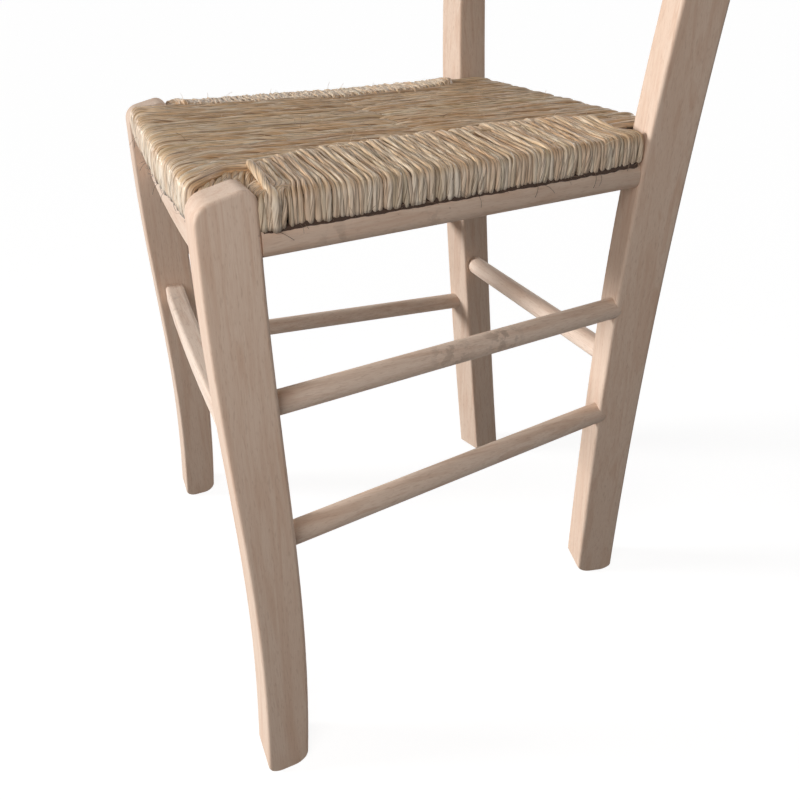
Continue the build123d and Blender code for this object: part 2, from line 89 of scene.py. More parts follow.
def new_material(name):
    """Material, with its tree of nodes and the surface that they feed."""
    material = bpy.data.materials.new(name)
    material.use_nodes = True
    return material, material.node_tree, material.node_tree.nodes["Principled BSDF"]


def raw_beech(name, turn, start, smudges, tones):
    """Raw sanded beech: matt and pinkish, with faint grain, fine ray flecks and marks from handling."""
    material, tree, surface = new_material(name)
    place = node(tree, "ShaderNodeTexCoord")
    grain = node(tree, "ShaderNodeMapping", {
        "Vector": place.outputs["Object"], "Location": (start, 2 * start, 3 * start), "Rotation": turn,
    })

    # Soft growth bands 7 mm apart that run with the grain, and broad changes of tone 40 mm wide
    band_width, tone_width, band_draw = 0.007, 0.04, 0.06
    tone_low, tone_high = 0.3, 0.7
    stretched = node(tree, "ShaderNodeMapping", {"Vector": grain, "Scale": (1, 1, band_draw)})
    tone = node(tree, "ShaderNodeTexNoise", {
        "Vector": stretched, "Scale": 1 / tone_width, "Detail": 3.0, "Roughness": 0.55,
    })
    bands = node(tree, "ShaderNodeTexNoise", {
        "Vector": stretched, "Scale": 1 / band_width, "Detail": 2.0, "Roughness": 0.5, "Distortion": 1.1,
    })

    # Fibres 0.6 mm wide, and ray flecks drawn about twice as wide as real ones so that they show
    fibre_width, fibre_draw = 0.0006, 0.03
    fleck_width, fleck_draw = 0.0012, 0.2
    drawn = node(tree, "ShaderNodeMapping", {"Vector": grain, "Scale": (1, 1, fibre_draw)})
    fibres = node(tree, "ShaderNodeTexNoise", {
        "Vector": drawn, "Scale": 1 / fibre_width, "Detail": 2.0, "Roughness": 0.6,
    })
    dashes = node(tree, "ShaderNodeMapping", {"Vector": grain, "Scale": (1, 1, fleck_draw)})
    flecks = node(tree, "ShaderNodeTexNoise", {
        "Vector": dashes, "Scale": 1 / fleck_width, "Detail": 1.0, "Roughness": 0.5,
    })

    # Each mask lays its tint over the wood where its noise is high
    tone_mask = node(tree, "ShaderNodeMapRange", {
        "Value": tone, "From Min": tone_low, "From Max": tone_high,
    })
    colour = node(tree, "ShaderNodeMix", {
        0: tone_mask, 6: linear(tones[0]), 7: linear(tones[1]),
    }, data_type="RGBA")
    masks = (
        (bands, 0.46, 0.72, 0.62, "#D2B098"),
        (fibres, 0.45, 0.72, 0.38, "#CFAE96"),
        (flecks, 0.58, 0.72, 0.26, "#B5937C"),
    )
    for source, low, high, most, tint in masks:
        mask = node(tree, "ShaderNodeMapRange", {
            "Value": source, "From Min": low, "From Max": high, "To Min": 0.0, "To Max": most,
        })
        colour = node(tree, "ShaderNodeMix", {
            0: mask, 6: colour.outputs[2], 7: linear(tint),
        }, data_type="RGBA")

    # Grey brown marks of handling: each fades out from its middle and is broken up by a 7 mm cloud
    if smudges:
        cloud_width = 0.007
        cloud = node(tree, "ShaderNodeTexNoise", {
            "Vector": place.outputs["Object"], "Scale": 1 / cloud_width, "Detail": 3.0, "Roughness": 0.6,
        })
        patchy = node(tree, "ShaderNodeMapRange", {"Value": cloud, "From Min": 0.47, "From Max": 0.56})
    for middle, reach, strength in smudges:
        away = node(tree, "ShaderNodeVectorMath", {
            0: place.outputs["Object"], 1: [value / 1000 for value in middle],
        }, operation="DISTANCE")
        near = node(tree, "ShaderNodeMapRange", {
            "Value": away.outputs["Value"], "From Min": 0.0, "From Max": reach / 1000,
            "To Min": strength, "To Max": 0.0,
        })
        mark = node(tree, "ShaderNodeMath", {0: near, 1: patchy}, operation="MULTIPLY")
        colour = node(tree, "ShaderNodeMix", {
            0: mark, 6: colour.outputs[2], 7: linear("#8C7565"),
        }, data_type="RGBA")
    dull = node(tree, "ShaderNodeMapRange", {
        "Value": tone, "From Min": tone_low, "From Max": tone_high, "To Min": 0.6, "To Max": 0.72,
    })
    relief = node(tree, "ShaderNodeBump", {"Strength": 0.2, "Distance": 0.00015, "Height": fibres})
    feed(tree, surface, {
        "Base Color": colour.outputs[2], "Roughness": dull, "Normal": relief,
        "IOR": 1.45, "Specular IOR Level": 0.3,
    })
    return material


def finish_node(name, material):
    """Gives a CAD piece its finish."""
    shown = frame["nodes"][name]
    shown.data.materials.clear()
    shown.data.materials.append(material)


beech_tones = ("#DFC6B2", "#E7D2C0")


def finish_beech(names, turn, start, step=0.0, marks=(), tones=beech_tones):
    """Finishes like pieces in beech. Each starts elsewhere in the pattern, so that none match in grain."""
    for number, name in enumerate(names):
        smudges = dict(marks).get(name, ())
        finish_node(name, raw_beech("raw_beech_" + name, turn, start + step * number, smudges, tones))


# How the grain of a piece is turned from the upright
upright = (0.0, 0.0, 0.0)
lengthwise = (math.radians(90), 0.0, 0.0)
crosswise = (0.0, math.radians(90), 0.0)
finish_beech(
    ("front_leg_right", "front_leg_left", "back_post_right", "back_post_left"), upright, 0.0, 0.37,
)


# Stretchers and rails
# Round stretchers turned from beech, bowed front boards, and seat rails with rounded edges. Each is
# glued into blind mortises in the uprights, with its grain along its length.

# Marks of handling: the middle and reach of each in millimetres, and its strength
marks = {
    "side_stretcher_upper_right": (
        ((164, -40, 297), 24, 0.4), ((158, 5, 299), 22, 0.5), ((171, -84, 289), 3, 0.9),
    ),
    "front_stretcher": (((-120, -202, 259), 14, 0.45), ((-88, -203, 258), 10, 0.4)),
    "side_rail_right": (((179, -128, 404), 16, 0.35), ((178, -60, 405), 12, 0.3)),
}
paler_tones = ("#ECD6C3", "#F2DFCF")
# The front stretcher's palest tones are partly its own paler wood and partly painted light, which lifts its
# broad face where it gets less light
painted_light_tones = ("#F1DDCB", "#F7E6D7")
finish_beech((
    "side_stretcher_upper_right", "side_stretcher_lower_right",
    "side_stretcher_upper_left", "side_stretcher_lower_left",
), lengthwise, 1.7, 0.29, marks, paler_tones)
finish_beech(("front_stretcher",), crosswise, 4.1, marks=marks, tones=painted_light_tones)
finish_beech(("back_stretcher",), crosswise, 4.41, tones=paler_tones)
finish_beech(("side_rail_right", "side_rail_left"), lengthwise, 2.9, 0.29, marks)
finish_beech(("front_rail", "back_rail"), crosswise, 4.7, 0.31)


# Back slats
# A crest rail and two slats of the same raw beech, sawn or bent to a curve. Their ends are let into
# mortises in the back posts.

finish_beech(("crest_rail", "middle_slat", "lower_slat"), crosswise, 6.3, 0.43)


# Seat frame
# Four flat boards of beech, tenoned together, that the rush is woven round. The frame drops between
# the legs onto the rails.

finish_beech(("seat_frame_right", "seat_frame_left"), lengthwise, 3.48, 0.29)
finish_beech(("seat_frame_front", "seat_frame_back"), crosswise, 5.32, 0.31)


# Seat screws
# Four countersunk wood screws of zinc plated steel, driven up through the side rails into the seat
# frame. The plating is pale grey, a little cloudy, and half matt.

zinc, zinc_tree, zinc_surface = new_material("zinc_plated_steel")
zinc_cloud_width = 0.002
zinc_place = node(zinc_tree, "ShaderNodeTexCoord")
zinc_cloud = node(zinc_tree, "ShaderNodeTexNoise", {
    "Vector": zinc_place.outputs["Object"], "Scale": 1 / zinc_cloud_width, "Detail": 2.0,
})
zinc_colour = node(zinc_tree, "ShaderNodeMix", {
    0: zinc_cloud, 6: linear("#A9ABA8"), 7: linear("#C6C7C2"),
}, data_type="RGBA")
zinc_dull = node(zinc_tree, "ShaderNodeMapRange", {"Value": zinc_cloud, "To Min": 0.3, "To Max": 0.5})
feed(zinc_tree, zinc_surface, {
    "Base Color": zinc_colour.outputs[2], "Roughness": zinc_dull, "Metallic": 1.0,
})
finish_node("seat_screws", zinc)


# Rush weave
# Dried rush leaves twisted into cords and woven round the seat frame in four fields. Each cord comes
# up round the edge, runs in over the top and goes down where its field meets the next.

def rush_leaf(name):
    """Dried rush: long fibres, uneven straw colours, pale patches that are partly painted highlight,
    painted shade in the hollows and under the turned edge, and a waxy sheen.
    """
    material, tree, surface = new_material(name)
    ply = node(tree, "ShaderNodeAttribute", attribute_name="rush_ply")
    run = node(tree, "ShaderNodeAttribute", attribute_name="rush_run")
    tone = node(tree, "ShaderNodeAttribute", attribute_name="rush_tone")
    sides = node(tree, "ShaderNodeSeparateXYZ", {0: ply.outputs["Vector"]})
    cord_shift = 7.0
    shifted = node(tree, "ShaderNodeMath", {
        0: tone.outputs["Fac"], 1: cord_shift, 2: run.outputs["Fac"],
    }, operation="MULTIPLY_ADD")

    # Fibres about 0.7 mm wide and 20 mm long on a cord of 2.3 mm radius, and pale patches, partly painted
    # highlight, 22 mm long
    fibre_width, fibre_length, patch_length, cord_radius = 0.0007, 0.02, 0.022, 0.0023
    along_fibre = node(tree, "ShaderNodeMath", {0: shifted, 1: 1 / fibre_length}, operation="MULTIPLY")
    fibre_place = node(tree, "ShaderNodeCombineXYZ", {
        0: sides.outputs[0], 1: sides.outputs[1], 2: along_fibre,
    })
    fibre_scaled = node(tree, "ShaderNodeMapping", {
        "Vector": fibre_place, "Scale": (cord_radius / fibre_width, cord_radius / fibre_width, 1.0),
    })
    fibres = node(tree, "ShaderNodeTexNoise", {
        "Vector": fibre_scaled, "Scale": 1.0, "Detail": 2.0, "Roughness": 0.55,
    })
    along_patch = node(tree, "ShaderNodeMath", {0: shifted, 1: 1 / patch_length}, operation="MULTIPLY")
    patch_place = node(tree, "ShaderNodeCombineXYZ", {
        0: sides.outputs[0], 1: sides.outputs[1], 2: along_patch,
    })
    pale_highlight_patches = node(tree, "ShaderNodeTexNoise", {"Vector": patch_place, "Scale": 0.8, "Detail": 1.0})

    # Each leaf has its own colour: straw to pale straw, some tan and some still a little green. The top,
    # from 432 to 438 mm up, is painted a darker, warmer tan and the sides paler: painted shade and
    # painted light for how differently the light falls on the top and the sides
    tan_from, tan_to = 0.4325, 0.4385
    place = node(tree, "ShaderNodeTexCoord")
    height = node(tree, "ShaderNodeSeparateXYZ", {0: place.outputs["Object"]})
    on_top = node(tree, "ShaderNodeMapRange", {
        "Value": height.outputs[2], "From Min": tan_from, "From Max": tan_to,
    })
    # The sides are painted paler, as painted light, and the top darker, as painted shade
    side_colour_painted_light = node(tree, "ShaderNodeMix", {
        0: tone.outputs["Fac"], 6: linear("#EACFB3"), 7: linear("#F8ECDA"),
    }, data_type="RGBA")
    top_colour_painted_shade = node(tree, "ShaderNodeMix", {
        0: tone.outputs["Fac"], 6: linear("#CCA77F"), 7: linear("#E6C9A3"),
    }, data_type="RGBA")
    colour = node(tree, "ShaderNodeMix", {
        0: on_top, 6: side_colour_painted_light.outputs[2], 7: top_colour_painted_shade.outputs[2],
    }, data_type="RGBA")
    tinted_from = 0.72
    for turns, tint, most in ((5.7, "#B88F6A", 0.42), (3.3, "#BDB394", 0.45)):
        spread = node(tree, "ShaderNodeMath", {0: tone.outputs["Fac"], 1: turns}, operation="MULTIPLY")
        part = node(tree, "ShaderNodeMath", {0: spread}, operation="FRACT")
        share = node(tree, "ShaderNodeMapRange", {
            "Value": part, "From Min": tinted_from, "From Max": 1.0, "To Min": 0.0, "To Max": most,
        })
        colour = node(tree, "ShaderNodeMix", {
            0: share, 6: colour.outputs[2], 7: linear(tint),
        }, data_type="RGBA")
    groove = node(tree, "ShaderNodeMath", {0: sides.outputs[0]}, operation="ABSOLUTE")

    # Pale patches, partly painted highlight, brown lines between the fibres, painted shade in the grooves
    # between the plies, and painted shade on the cords' lower ends under the turned edge
    masks = (
        # Pale patches on the leaves, partly painted highlight
        (pale_highlight_patches, 0.46, 0.7, 0.0, 0.6, "#F6EAD4"),
        (fibres, 0.47, 0.68, 0.0, 0.8, "#80654A"),
        # Painted shade in the grooves between the two plies
        (groove, 0.0, 0.3, 0.7, 0.0, "#6C5038"),
        # Painted shade: the cords darken towards their lower ends, where they turn under onto the rails
        (height.outputs[2], 0.4138, 0.4186, 0.8, 0.0, "#4A3224"),
    )
    for source, low, high, first, last, tint in masks:
        mask = node(tree, "ShaderNodeMapRange", {
            "Value": source, "From Min": low, "From Max": high, "To Min": first, "To Max": last,
        })
        colour = node(tree, "ShaderNodeMix", {
            0: mask, 6: colour.outputs[2], 7: linear(tint),
        }, data_type="RGBA")
    sheen = node(tree, "ShaderNodeMapRange", {"Value": fibres, "To Min": 0.28, "To Max": 0.46})
    relief = node(tree, "ShaderNodeBump", {"Strength": 1.0, "Distance": 0.0008, "Height": fibres})
    feed(tree, surface, {
        "Base Color": colour.outputs[2], "Roughness": sheen, "Normal": relief,
        "IOR": 1.45, "Specular IOR Level": 0.5,
    })
    return material


def new_tree(name, sizes):
    """Geometry Nodes tree with its named inputs, and the sockets that give them."""
    tree = bpy.data.node_groups.new(name, "GeometryNodeTree")
    tree.interface.new_socket("Geometry", in_out="INPUT", socket_type="NodeSocketGeometry")
    for label, (kind, value) in sizes.items():
        socket = tree.interface.new_socket(label, in_out="INPUT", socket_type=kind)
        if value is not None:
            socket.default_value = value
    tree.interface.new_socket("Geometry", in_out="OUTPUT", socket_type="NodeSocketGeometry")
    return tree, node(tree, "NodeGroupInput").outputs


# The tree that weaves a field, with its lengths in metres
field_tree, given = new_tree("rush_field", {
    "Cords": ("NodeSocketInt", 60),
    "Edge Start": ("NodeSocketVector", (0, 0, 0)),
    "Edge End": ("NodeSocketVector", (0, 1, 0)),
    "Inward": ("NodeSocketVector", (1, 0, 0)),
    "Bow": ("NodeSocketFloat", 0.0),
    "Depth Start": ("NodeSocketFloat", 0.03),
    "Depth End": ("NodeSocketFloat", 0.03),
    "Depth Middle": ("NodeSocketFloat", 0.06),
    "Ridge From": ("NodeSocketFloat", 0.0),
    "Ridge Curve": ("NodeSocketFloat", 1.0),
    "Roll": ("NodeSocketFloat", 0.014),
    "Line Depth": ("NodeSocketFloat", 0.06),
    "Cord Width": ("NodeSocketFloat", 0.005),
    "Top Share": ("NodeSocketFloat", 0.48),
    "Width Change": ("NodeSocketFloat", 0.2),
    "Wander": ("NodeSocketFloat", 0.001),
    "Wander Length": ("NodeSocketFloat", 0.04),
    "Pinch": ("NodeSocketFloat", 0.0),
    "Pinch Curve": ("NodeSocketFloat", 2.0),
    "Pinch Length": ("NodeSocketFloat", 0.032),
    "Slant": ("NodeSocketFloat", 0.0),
    "Lift": ("NodeSocketFloat", 0.0005),
    "End Rise": ("NodeSocketFloat", 0.0),
    "Turns Per Metre": ("NodeSocketFloat", 12.0),
    "Ply Groove": ("NodeSocketFloat", 0.18),
    "Sampling": ("NodeSocketFloat", 0.0022),
    "Seed": ("NodeSocketInt", 1),
    "Finish": ("NodeSocketMaterial", None),
})

# Each cord starts as a copy of one line, and has its own place t from 0 to 1 along the seat's edge
line = node(field_tree, "GeometryNodeResampleCurve", {
    "Curve": given["Geometry"], "Length": given["Sampling"],
}, mode="LENGTH")
copies = node(field_tree, "GeometryNodeDuplicateElements", {
    "Geometry": line, "Amount": given["Cords"],
}, domain="SPLINE")
which = copies.outputs["Duplicate Index"]
seed_step = 11.0
draws = {}
for number, (label, low, high) in enumerate((
    ("shift", -0.13, 0.13), ("width", -1.0, 1.0), ("phase", 0.0, 6.28), ("tone", 0.0, 1.0),
    ("slant", -0.022, 0.022), ("lift", -1.0, 1.0), ("depth", -0.0022, 0.0022), ("twist", 0.2, 1.8),
    ("tumble", -0.075, 0.075),
)):
    draw_seed = node(field_tree, "ShaderNodeMath", {
        0: given["Seed"], 1: seed_step * number,
    }, operation="ADD")
    draws[label] = node(field_tree, "FunctionNodeRandomValue", {
        2: low, 3: high, "ID": which, "Seed": draw_seed,
    }, data_type="FLOAT")
counted = node(field_tree, "ShaderNodeMath", {0: which, 1: draws["shift"]}, operation="ADD")
centred = node(field_tree, "ShaderNodeMath", {0: counted, 1: 0.5}, operation="ADD")
t = node(field_tree, "ShaderNodeMath", {0: centred, 1: given["Cords"]}, operation="DIVIDE")

# How far the cord runs in: the ridge between two fields, from the ends of the edge to its middle
across = node(field_tree, "ShaderNodeMath", {0: t, 1: 2.0, 2: -1.0}, operation="MULTIPLY_ADD")
off_middle = node(field_tree, "ShaderNodeMath", {0: across}, operation="ABSOLUTE")
ridge_share = node(field_tree, "ShaderNodeMapRange", {
    "Value": off_middle, "From Min": given["Ridge From"], "From Max": 1.0,
})
ridge = node(field_tree, "ShaderNodeMath", {0: ridge_share, 1: given["Ridge Curve"]}, operation="POWER")
end_depth = node(field_tree, "ShaderNodeMix", {
    0: t, 2: given["Depth Start"], 3: given["Depth End"],
}, data_type="FLOAT")
depth_even = node(field_tree, "ShaderNodeMix", {
    0: ridge, 2: given["Depth Middle"], 3: end_depth,
}, data_type="FLOAT")
depth = node(field_tree, "ShaderNodeMath", {0: depth_even, 1: draws["depth"]}, operation="ADD")

# The line keeps its shape round the edge and where it goes down, and stretches in between
here = node(field_tree, "GeometryNodeInputPosition")
section = node(field_tree, "ShaderNodeSeparateXYZ", {0: here})
flat_line = node(field_tree, "ShaderNodeMath", {
    0: given["Line Depth"], 1: given["Roll"],
}, operation="SUBTRACT")
flat_cord = node(field_tree, "ShaderNodeMath", {0: depth, 1: given["Roll"]}, operation="SUBTRACT")
stretch = node(field_tree, "ShaderNodeMath", {0: flat_cord, 1: flat_line}, operation="DIVIDE")
round_edge = node(field_tree, "ShaderNodeMath", {
    0: section.outputs[0], 1: given["Roll"],
}, operation="MINIMUM")
past_roll = node(field_tree, "ShaderNodeMath", {0: section.outputs[0], 1: round_edge}, operation="SUBTRACT")
on_top = node(field_tree, "ShaderNodeMath", {0: past_roll, 1: flat_line}, operation="MINIMUM")
going_down = node(field_tree, "ShaderNodeMath", {0: past_roll, 1: on_top}, operation="SUBTRACT")
reached = node(field_tree, "ShaderNodeMath", {
    0: on_top, 1: stretch, 2: round_edge,
}, operation="MULTIPLY_ADD")
inset = node(field_tree, "ShaderNodeMath", {0: reached, 1: going_down}, operation="ADD")

# Hand weaving is uneven: a cord wanders sideways and rides up and down along its way, and leans on
# the seat's side, measured from its top
row_step, noise_middle, woven_top = 0.61, 0.5, 0.4405
noise_row = node(field_tree, "ShaderNodeMath", {
    0: which, 1: row_step, 2: given["Seed"],
}, operation="MULTIPLY_ADD")
noise_run = node(field_tree, "ShaderNodeMath", {0: inset, 1: given["Wander Length"]}, operation="DIVIDE")
noise_rise = node(field_tree, "ShaderNodeMath", {
    0: section.outputs[2], 1: given["Wander Length"],
}, operation="DIVIDE")
noise_place = node(field_tree, "ShaderNodeCombineXYZ", {0: noise_row, 1: noise_run, 2: noise_rise})
drift = node(field_tree, "ShaderNodeTexNoise", {"Vector": noise_place, "Scale": 1.0, "Detail": 1.0})
drift_parts = node(field_tree, "ShaderNodeSeparateXYZ", {0: drift.outputs["Color"]})
drift_side, drift_rise, drift_width = (
    node(field_tree, "ShaderNodeMath", {0: part, 1: noise_middle}, operation="SUBTRACT")
    for part in drift_parts.outputs
)
sideways = node(field_tree, "ShaderNodeMath", {0: drift_side, 1: given["Wander"]}, operation="MULTIPLY")
lean = node(field_tree, "ShaderNodeMath", {0: draws["slant"], 1: given["Slant"]}, operation="ADD")
top_lean = node(field_tree, "ShaderNodeMath", {0: lean, 1: inset, 2: sideways}, operation="MULTIPLY_ADD")
below_top = node(field_tree, "ShaderNodeMath", {0: section.outputs[2], 1: woven_top}, operation="SUBTRACT")
leaning = node(field_tree, "ShaderNodeMath", {
    0: below_top, 1: draws["tumble"], 2: top_lean,
}, operation="MULTIPLY_ADD")

# The outer cords of a field pull in towards its middle, as they come over the edge
pull_from = 0.002
pull_share = node(field_tree, "ShaderNodeMapRange", {
    "Value": inset, "From Min": pull_from, "From Max": given["Pinch Length"],
}, interpolation_type="SMOOTHSTEP")
pull_outer = node(field_tree, "ShaderNodeMath", {0: off_middle, 1: given["Pinch Curve"]}, operation="POWER")
pull_way = node(field_tree, "ShaderNodeMath", {0: across}, operation="SIGN")
pull_side = node(field_tree, "ShaderNodeMath", {0: pull_outer, 1: pull_way}, operation="MULTIPLY")
pull_most = node(field_tree, "ShaderNodeMath", {0: pull_side, 1: given["Pinch"]}, operation="MULTIPLY")
pull = node(field_tree, "ShaderNodeMath", {0: pull_most, 1: pull_share}, operation="MULTIPLY")
aside = node(field_tree, "ShaderNodeMath", {0: leaning, 1: pull}, operation="SUBTRACT")

# A cord rides up and down, and the last cords of a side climb towards the back post
ride_share, end_curve = 2.0, 6.0
ride = node(field_tree, "ShaderNodeMath", {
    0: drift_rise, 1: ride_share, 2: draws["lift"],
}, operation="MULTIPLY_ADD")
near_end = node(field_tree, "ShaderNodeMath", {0: t, 1: end_curve}, operation="POWER")
turned_up = node(field_tree, "ShaderNodeMath", {
    0: near_end, 1: given["End Rise"], 2: section.outputs[2],
}, operation="MULTIPLY_ADD")
rise = node(field_tree, "ShaderNodeMath", {
    0: ride, 1: given["Lift"], 2: turned_up,
}, operation="MULTIPLY_ADD")

# From the section to the seat: along the bowed edge, inward, aside and up
edge = node(field_tree, "ShaderNodeVectorMath", {
    0: given["Edge End"], 1: given["Edge Start"],
}, operation="SUBTRACT")
edge_way = node(field_tree, "ShaderNodeVectorMath", {0: edge}, operation="NORMALIZE")
edge_place = node(field_tree, "ShaderNodeVectorMath", {
    0: edge, 1: t, 2: given["Edge Start"],
}, operation="MULTIPLY_ADD")
bowed = node(field_tree, "ShaderNodeMath", {0: across, 1: across}, operation="MULTIPLY")
bow_left = node(field_tree, "ShaderNodeMath", {0: 1.0, 1: bowed}, operation="SUBTRACT")
bow_out = node(field_tree, "ShaderNodeMath", {0: bow_left, 1: given["Bow"]}, operation="MULTIPLY")
inward = node(field_tree, "ShaderNodeMath", {0: inset, 1: bow_out}, operation="SUBTRACT")
inward_step = node(field_tree, "ShaderNodeVectorMath", {
    0: given["Inward"], 1: inward, 2: edge_place,
}, operation="MULTIPLY_ADD")
aside_step = node(field_tree, "ShaderNodeVectorMath", {
    0: edge_way, 1: aside, 2: inward_step,
}, operation="MULTIPLY_ADD")
up_step = node(field_tree, "ShaderNodeCombineXYZ", {2: rise})
cord_place = node(field_tree, "ShaderNodeVectorMath", {0: aside_step, 1: up_step}, operation="ADD")
laid = node(field_tree, "GeometryNodeSetPosition", {
    "Geometry": copies.outputs["Geometry"], "Position": cord_place,
})

# A cord is two plies twisted together: a round section with two grooves that turns along its length
ring_points = 12
along = node(field_tree, "GeometryNodeSplineParameter")
with_run = node(field_tree, "GeometryNodeStoreNamedAttribute", {
    "Geometry": laid, "Name": "rush_run", "Value": along.outputs["Length"],
}, data_type="FLOAT", domain="POINT")
with_tone = node(field_tree, "GeometryNodeStoreNamedAttribute", {
    "Geometry": with_run, "Name": "rush_tone", "Value": draws["tone"],
}, data_type="FLOAT", domain="POINT")
turns = node(field_tree, "ShaderNodeMath", {
    0: given["Turns Per Metre"], 1: draws["twist"],
}, operation="MULTIPLY")
turning = node(field_tree, "ShaderNodeMath", {0: turns, 1: math.tau}, operation="MULTIPLY")
tilt = node(field_tree, "ShaderNodeMath", {
    0: turning, 1: along.outputs["Length"], 2: draws["phase"],
}, operation="MULTIPLY_ADD")
twisted = node(field_tree, "GeometryNodeSetCurveTilt", {"Curve": with_tone, "Tilt": tilt})
ring = node(field_tree, "GeometryNodeCurvePrimitiveCircle", {
    "Resolution": ring_points, "Radius": 1.0,
}, mode="RADIUS")
ring_place = node(field_tree, "GeometryNodeInputPosition")
with_ply = node(field_tree, "GeometryNodeStoreNamedAttribute", {
    "Geometry": ring, "Name": "rush_ply", "Value": ring_place,
}, data_type="FLOAT_VECTOR", domain="POINT")
ring_parts = node(field_tree, "ShaderNodeSeparateXYZ", {0: ring_place})
wide_part = node(field_tree, "ShaderNodeMath", {
    0: ring_parts.outputs[0], 1: ring_parts.outputs[0],
}, operation="MULTIPLY")
groove = node(field_tree, "ShaderNodeMath", {0: wide_part, 1: 0.5}, operation="SUBTRACT")
groove_depth = node(field_tree, "ShaderNodeMath", {0: given["Ply Groove"], 1: 2.0}, operation="MULTIPLY")
swell = node(field_tree, "ShaderNodeMath", {0: groove, 1: groove_depth, 2: 1.0}, operation="MULTIPLY_ADD")
ply_place = node(field_tree, "ShaderNodeVectorMath", {0: ring_place, "Scale": swell}, operation="SCALE")
ply = node(field_tree, "GeometryNodeSetPosition", {"Geometry": with_ply, "Position": ply_place})

# Its width changes along its way, and it is thicker on the seat's side than on top
width_drift_share, side_share = 1.6, 0.57
shoulder_from, shoulder_to = 0.431, 0.4375
width_noise = node(field_tree, "ShaderNodeMath", {
    0: drift_width, 1: width_drift_share, 2: draws["width"],
}, operation="MULTIPLY_ADD")
width_share = node(field_tree, "ShaderNodeMath", {
    0: width_noise, 1: given["Width Change"], 2: 1.0,
}, operation="MULTIPLY_ADD")
half_width = node(field_tree, "ShaderNodeMapRange", {
    "Value": section.outputs[2], "From Min": shoulder_from, "From Max": shoulder_to,
    "To Min": side_share, "To Max": given["Top Share"],
})
full_width = node(field_tree, "ShaderNodeMath", {
    0: half_width, 1: given["Cord Width"],
}, operation="MULTIPLY")
radius = node(field_tree, "ShaderNodeMath", {0: full_width, 1: width_share}, operation="MULTIPLY")
thick = node(field_tree, "GeometryNodeSetCurveRadius", {"Curve": twisted, "Radius": radius})
own_radius = node(field_tree, "GeometryNodeInputRadius")
cords = node(field_tree, "GeometryNodeCurveToMesh", {
    "Curve": thick, "Profile Curve": ply, "Scale": own_radius, "Fill Caps": True,
})
smooth = node(field_tree, "GeometryNodeSetShadeSmooth", {"Geometry": cords})
whole = node(field_tree, "GeometryNodeRealizeInstances", {"Geometry": smooth})
dressed = node(field_tree, "GeometryNodeSetMaterial", {"Geometry": whole, "Material": given["Finish"]})
node(field_tree, "NodeGroupOutput", {"Geometry": dressed})


def set_sizes(modifier, sizes):
    """Sets the named inputs of a modifier's tree, each by its socket's identifier."""
    for item in modifier.node_group.interface.items_tree:
        if item.in_out == "INPUT" and item.name in sizes:
            modifier[item.identifier] = sizes[item.name]


def settled(maker, name):
    """Plain mesh object of what a modified object makes."""
    graph = bpy.context.evaluated_depsgraph_get()
    mesh = bpy.data.meshes.new_from_object(maker.evaluated_get(graph), depsgraph=graph)
    mesh.name = name
    bpy.data.objects.remove(maker)
    piece = bpy.data.objects.new(name, mesh)
    bpy.context.scene.collection.objects.link(piece)
    return piece


def rush_field(name, line_points, sizes):
    """One field of the weave, made by the tree from the line that a cord follows in section."""
    curve = bpy.data.curves.new(name + "_line", "CURVE")
    curve.dimensions = "3D"
    spline = curve.splines.new("NURBS")
    spline.points.add(len(line_points) - 1)
    for point, (inset_mm, height_mm) in zip(spline.points, line_points):
        point.co = (inset_mm / 1000, 0.0, height_mm / 1000, 1.0)
    spline.order_u = 3
    spline.use_endpoint_u = True
    spline.resolution_u = 8
    maker = bpy.data.objects.new(name + "_line", curve)
    bpy.context.scene.collection.objects.link(maker)
    weaver = maker.modifiers.new("weave", "NODES")
    weaver.node_group = field_tree
    set_sizes(weaver, sizes)
    return settled(maker, name)


# Sizes of the seat in millimetres: its edges at the legs, the bow of its front edge, and the ridges
# where the fields meet
front_y, back_y = -210.1, 155.9
side_front, side_back = (182.5, -174.6), (163.2, 116.0)
front_half, back_half = 147.0, 134.0
front_bow = 3.5
ridge_x = 102.0

# Lines of a cord in section, as inset from the edge and height in millimetres: from under the seat,
# up and over. The first cord of a side lies a little further out than the others
under_line = (
    (62, 425), (62, 421), (30, 420.8), (10, 419.8), (5.0, 416.0), (2.6, 416.0), (2.2, 422), (2.1, 428),
)
side_line = under_line + (
    (2.1, 432.2), (2.8, 435.8), (7.2, 437.1), (17, 438.0), (38, 440.2), (56, 442.5), (61.5, 442.3),
    (64, 439.6), (64.5, 433),
)
long_line = under_line + (
    (2.3, 434.8), (3.2, 438.4), (8.5, 439.8), (18, 440.3), (38, 440.3), (56, 439.9), (62, 438.6),
    (66, 435), (68, 430),
)
first_out, first_up, first_down, first_middle = 0.9, 1.1, 0.6, 432
first_line = tuple(
    (inset_mm - first_out, height_mm + (first_up if height_mm > first_middle else -first_down))
    for inset_mm, height_mm in side_line
)
first_start, first_end = (182.4, -169.5), (182.0, -163.5)
rush_cord = rush_leaf("dried_rush_cord")


def metres(x, y):
    """Point of the seat's edge in metres."""
    return (x / 1000, y / 1000, 0.0)


